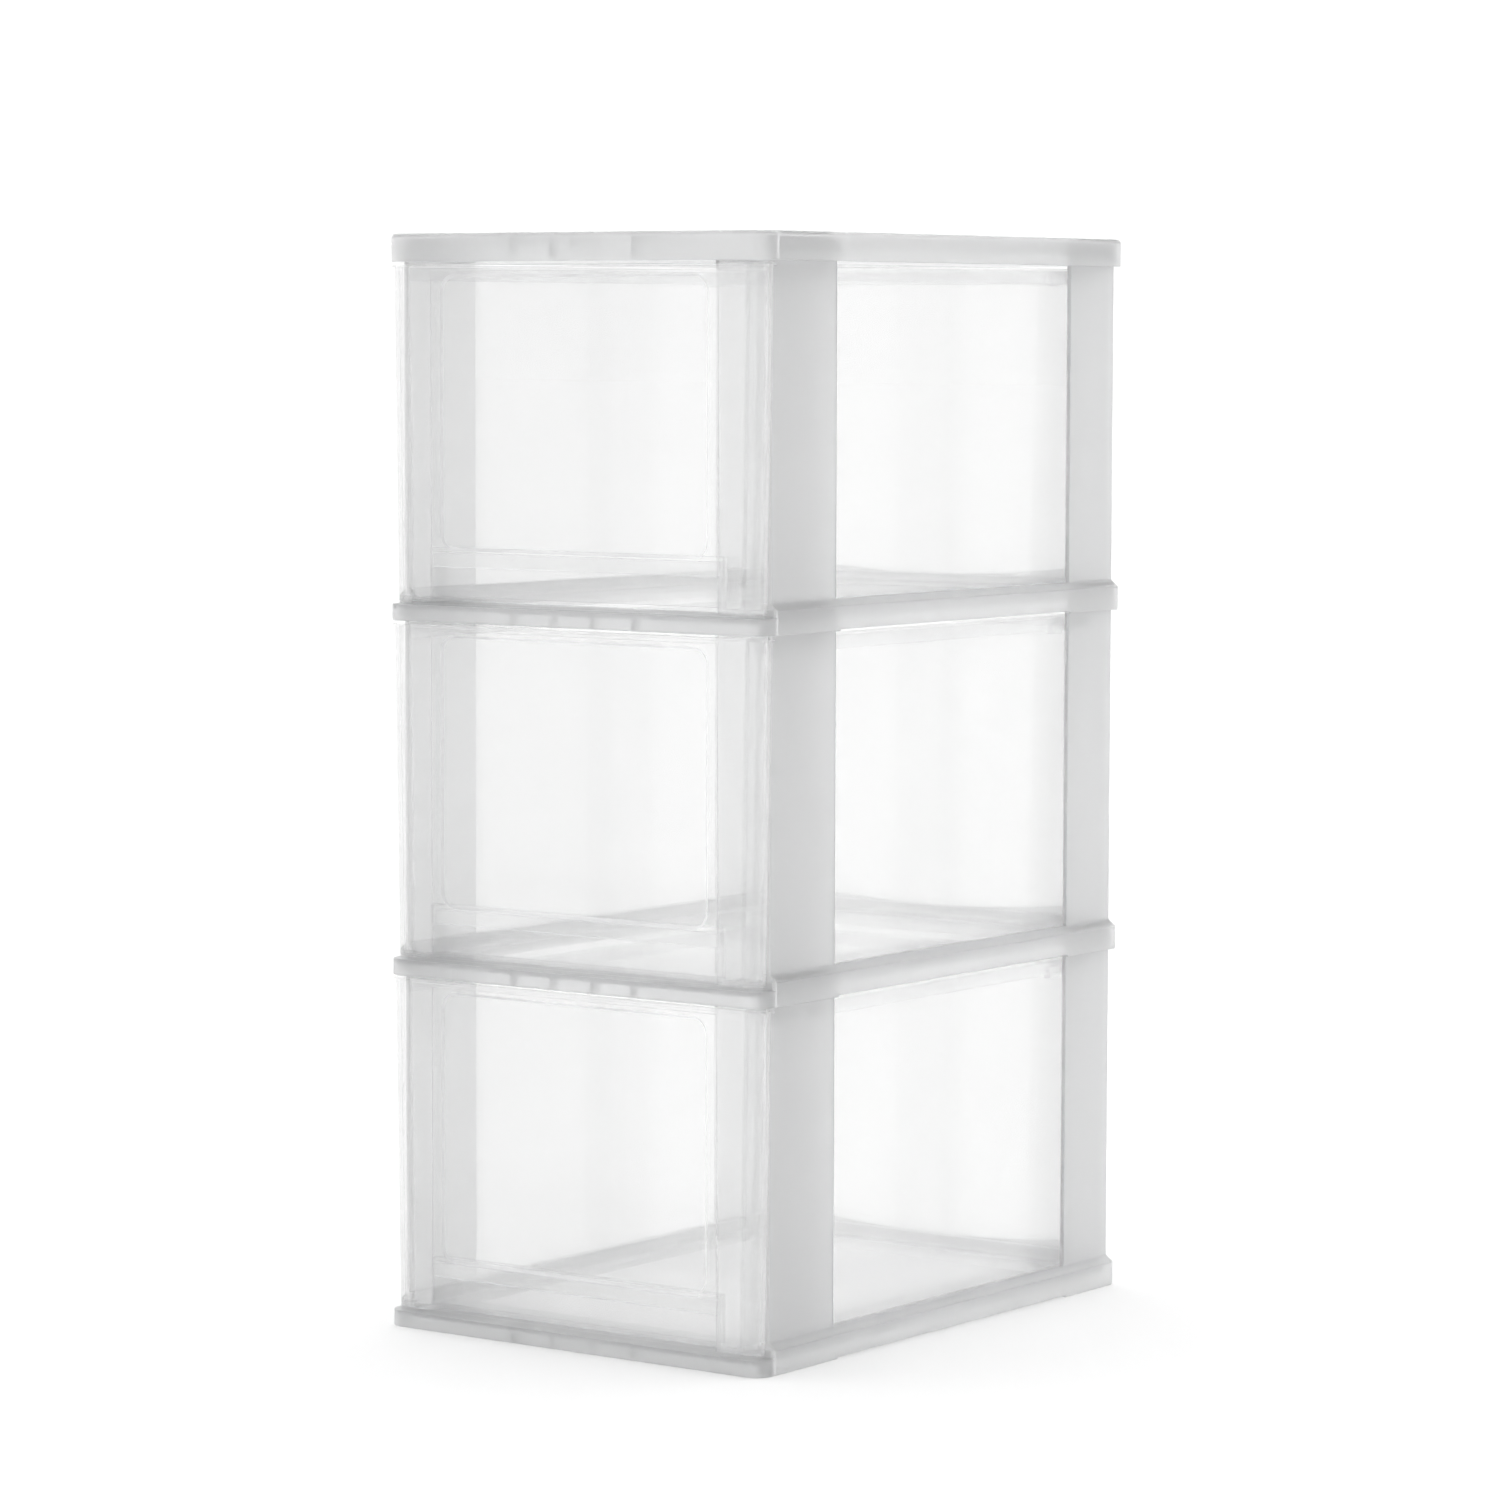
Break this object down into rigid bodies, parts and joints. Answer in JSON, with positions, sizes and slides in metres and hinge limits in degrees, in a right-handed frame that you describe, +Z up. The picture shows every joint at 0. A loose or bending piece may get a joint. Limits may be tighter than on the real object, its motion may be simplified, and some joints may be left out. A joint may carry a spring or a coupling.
{
  "type": "plastic drawer tower",
  "caption": "Tower of clear pull-out drawers in stacked translucent frames with open sides and back, and a flat lift-off cover.",
  "frame": {"origin": "middle of the underside, on the surface the tower stands on", "axes": "+Z up; -Y towards the front, the way the drawers open; +X to the right seen from the front"},
  "size_m": [0.196, 0.27, 0.46],
  "materials": {
    "cover_plastic": "milky translucent polypropylene, satin",
    "frame_plastic": "milky translucent polypropylene, satin",
    "drawer_plastic": "clear polypropylene, glossy"
  },
  "bodies": {
    "tower": {"top_cover": "cover_plastic", "frame_upper": "frame_plastic", "frame_middle": "frame_plastic", "frame_lower": "frame_plastic"},
    "upper_drawer": {"drawer_upper": "drawer_plastic"},
    "middle_drawer": {"drawer_middle": "drawer_plastic"},
    "lower_drawer": {"drawer_lower": "drawer_plastic"}
  },
  "joints": [
    {"name": "upper_drawer_slide", "type": "slide", "parent": "tower", "child": "upper_drawer", "axis": [0, -1, 0], "range_m": [0, 0.163]},
    {"name": "middle_drawer_slide", "type": "slide", "parent": "tower", "child": "middle_drawer", "axis": [0, -1, 0], "range_m": [0, 0.163]},
    {"name": "lower_drawer_slide", "type": "slide", "parent": "tower", "child": "lower_drawer", "axis": [0, -1, 0], "range_m": [0, 0.163]}
  ]
}
